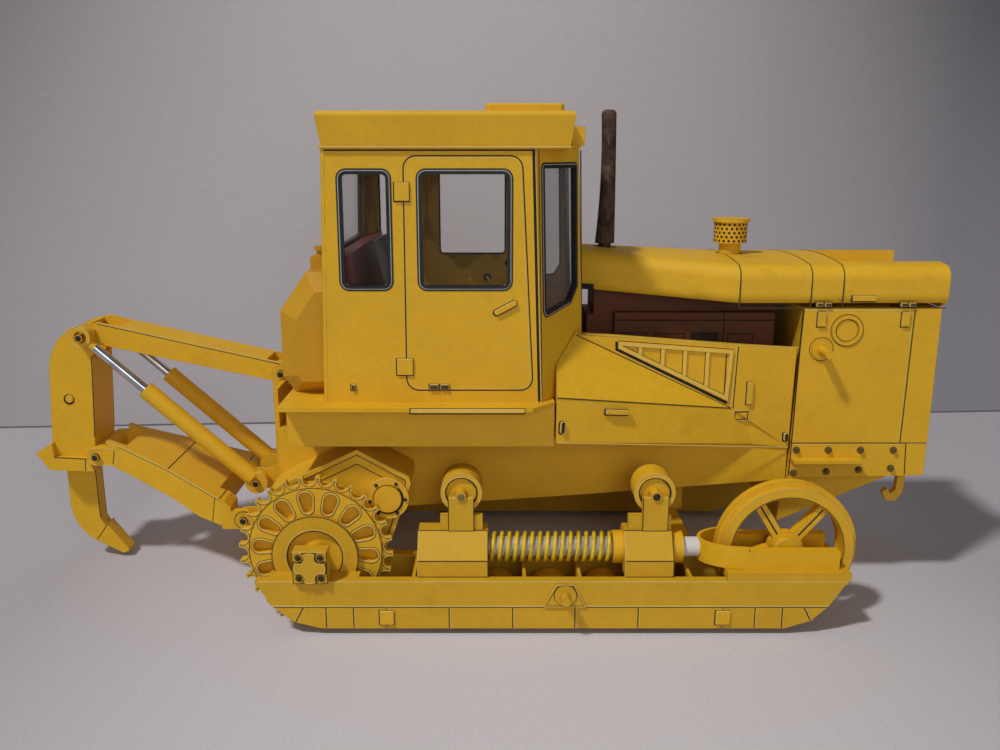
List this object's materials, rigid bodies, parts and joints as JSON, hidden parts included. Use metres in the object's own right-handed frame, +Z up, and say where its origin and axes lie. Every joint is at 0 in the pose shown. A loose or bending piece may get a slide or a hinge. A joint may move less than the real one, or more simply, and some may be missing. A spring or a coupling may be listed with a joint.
{
  "type": "card scale model of a crawler bulldozer tractor",
  "caption": "Yellow card scale model of a crawler tractor with cab, open track frames, sprockets, idlers, recoil springs and a jointed rear ripper; no blade or track chains.",
  "frame": {"origin": "middle of the bounding box's underside, on the surface the model stands on", "axes": "+X forward, +Y to the machine's left, +Z up"},
  "size_m": [0.286, 0.122, 0.1496],
  "materials": {
    "yellow_card": "printed card, satin",
    "clear_film": "clear plastic film",
    "seat_paper": "printed card, matte",
    "lever_paper": "printed card, matte",
    "rusty_paper": "painted brown, matte",
    "chrome_rod": "polished",
    "spring_wire": "painted spring wire"
  },
  "bodies": {
    "chassis": {"cab_floor": "yellow_card", "cab_front": "yellow_card", "cab_glass": "clear_film", "cab_rear": "yellow_card", "cab_roof": "yellow_card", "cab_seats": "seat_paper", "cab_side_left": "yellow_card", "cab_side_right": "yellow_card", "carrier_rollers_left": "yellow_card", "carrier_rollers_right": "yellow_card", "control_levers": "lever_paper", "engine_block": "yellow_card", "equalizer_bar": "yellow_card", "exhaust_stack": "rusty_paper", "fender_left": "yellow_card", "fender_right": "yellow_card", "final_drive_left": "yellow_card", "final_drive_right": "yellow_card", "hood": "yellow_card", "idler_yoke_left": "yellow_card", "idler_yoke_right": "yellow_card", "main_hull": "yellow_card", "nose_guard": "yellow_card", "precleaner": "yellow_card", "radiator_guard": "yellow_card", "rear_tank": "yellow_card", "recoil_spring_left": "spring_wire", "recoil_spring_right": "spring_wire", "ripper_bracket": "yellow_card", "roof_hatch": "yellow_card", "roof_header": "yellow_card", "side_panel_left": "yellow_card", "side_panel_right": "yellow_card", "tow_hooks": "yellow_card", "track_frame_left": "yellow_card", "track_frame_right": "yellow_card", "track_rollers_left": "yellow_card", "track_rollers_right": "yellow_card"},
    "ripper_arm": {"ripper_arm": "yellow_card"},
    "ripper_head": {"ripper_head": "yellow_card", "ripper_shank": "yellow_card"},
    "upper_link": {"upper_link": "yellow_card"},
    "cylinder_barrel_right": {"cylinder_barrel_right": "yellow_card"},
    "cylinder_barrel_left": {"cylinder_barrel_left": "yellow_card"},
    "cylinder_rod_right": {"cylinder_rod_right": "chrome_rod"},
    "cylinder_rod_left": {"cylinder_rod_left": "chrome_rod"},
    "sprocket_right": {"sprocket_right": "yellow_card"},
    "sprocket_left": {"sprocket_left": "yellow_card"},
    "idler_right": {"idler_right": "yellow_card"},
    "idler_left": {"idler_left": "yellow_card"}
  },
  "joints": [
    {"name": "ripper_lift", "type": "hinge", "parent": "chassis", "child": "ripper_arm", "pos_m": [-0.0725, 0, 0.0218], "axis": [0, 1, 0], "range_deg": [-10, 18]},
    {"name": "ripper_tilt", "type": "hinge", "parent": "ripper_arm", "child": "ripper_head", "pos_m": [-0.1229, 0, 0.0389], "axis": [0, 1, 0], "range_deg": [-21.54, 12.1]},
    {"name": "upper_link_swing", "type": "hinge", "parent": "chassis", "child": "upper_link", "pos_m": [-0.0617, 0, 0.066], "axis": [0, 1, 0], "range_deg": [-8.27, 14.65]},
    {"name": "cylinder_right_swing", "type": "hinge", "parent": "chassis", "child": "cylinder_barrel_right", "pos_m": [-0.0706, -0.011, 0.0305], "axis": [0, 1, 0], "range_deg": [-6.31, 11.12]},
    {"name": "cylinder_right_stroke", "type": "slide", "parent": "cylinder_barrel_right", "child": "cylinder_rod_right", "axis": [-0.7365, 0, 0.6764], "range_m": [-0.00446, 0.00795]},
    {"name": "cylinder_left_swing", "type": "hinge", "parent": "chassis", "child": "cylinder_barrel_left", "pos_m": [-0.0706, 0.011, 0.0305], "axis": [0, 1, 0], "range_deg": [-6.31, 11.12]},
    {"name": "cylinder_left_stroke", "type": "slide", "parent": "cylinder_barrel_left", "child": "cylinder_rod_left", "axis": [-0.7365, 0, 0.6764], "range_m": [-0.00446, 0.00795]},
    {"name": "sprocket_right_spin", "type": "hinge", "parent": "chassis", "child": "sprocket_right", "pos_m": [-0.0449, -0.045, 0.0226], "axis": [0, 1, 0], "continuous": true},
    {"name": "idler_right_spin", "type": "hinge", "parent": "chassis", "child": "idler_right", "pos_m": [0.0928, -0.045, 0.02275], "axis": [0, 1, 0], "continuous": true},
    {"name": "sprocket_left_spin", "type": "hinge", "parent": "chassis", "child": "sprocket_left", "pos_m": [-0.0449, 0.045, 0.0226], "axis": [0, 1, 0], "continuous": true},
    {"name": "idler_left_spin", "type": "hinge", "parent": "chassis", "child": "idler_left", "pos_m": [0.0928, 0.045, 0.02275], "axis": [0, 1, 0], "continuous": true}
  ],
  "couplings": [
    {"joint": "ripper_tilt", "follows": "ripper_lift", "ratio": -1.18},
    {"joint": "upper_link_swing", "follows": "ripper_lift", "ratio": 0.797},
    {"joint": "cylinder_right_swing", "follows": "ripper_lift", "ratio": 0.601},
    {"joint": "cylinder_right_stroke", "follows": "ripper_lift", "m_per_rad": 0.025},
    {"joint": "cylinder_left_swing", "follows": "ripper_lift", "ratio": 0.601},
    {"joint": "cylinder_left_stroke", "follows": "ripper_lift", "m_per_rad": 0.025}
  ]
}
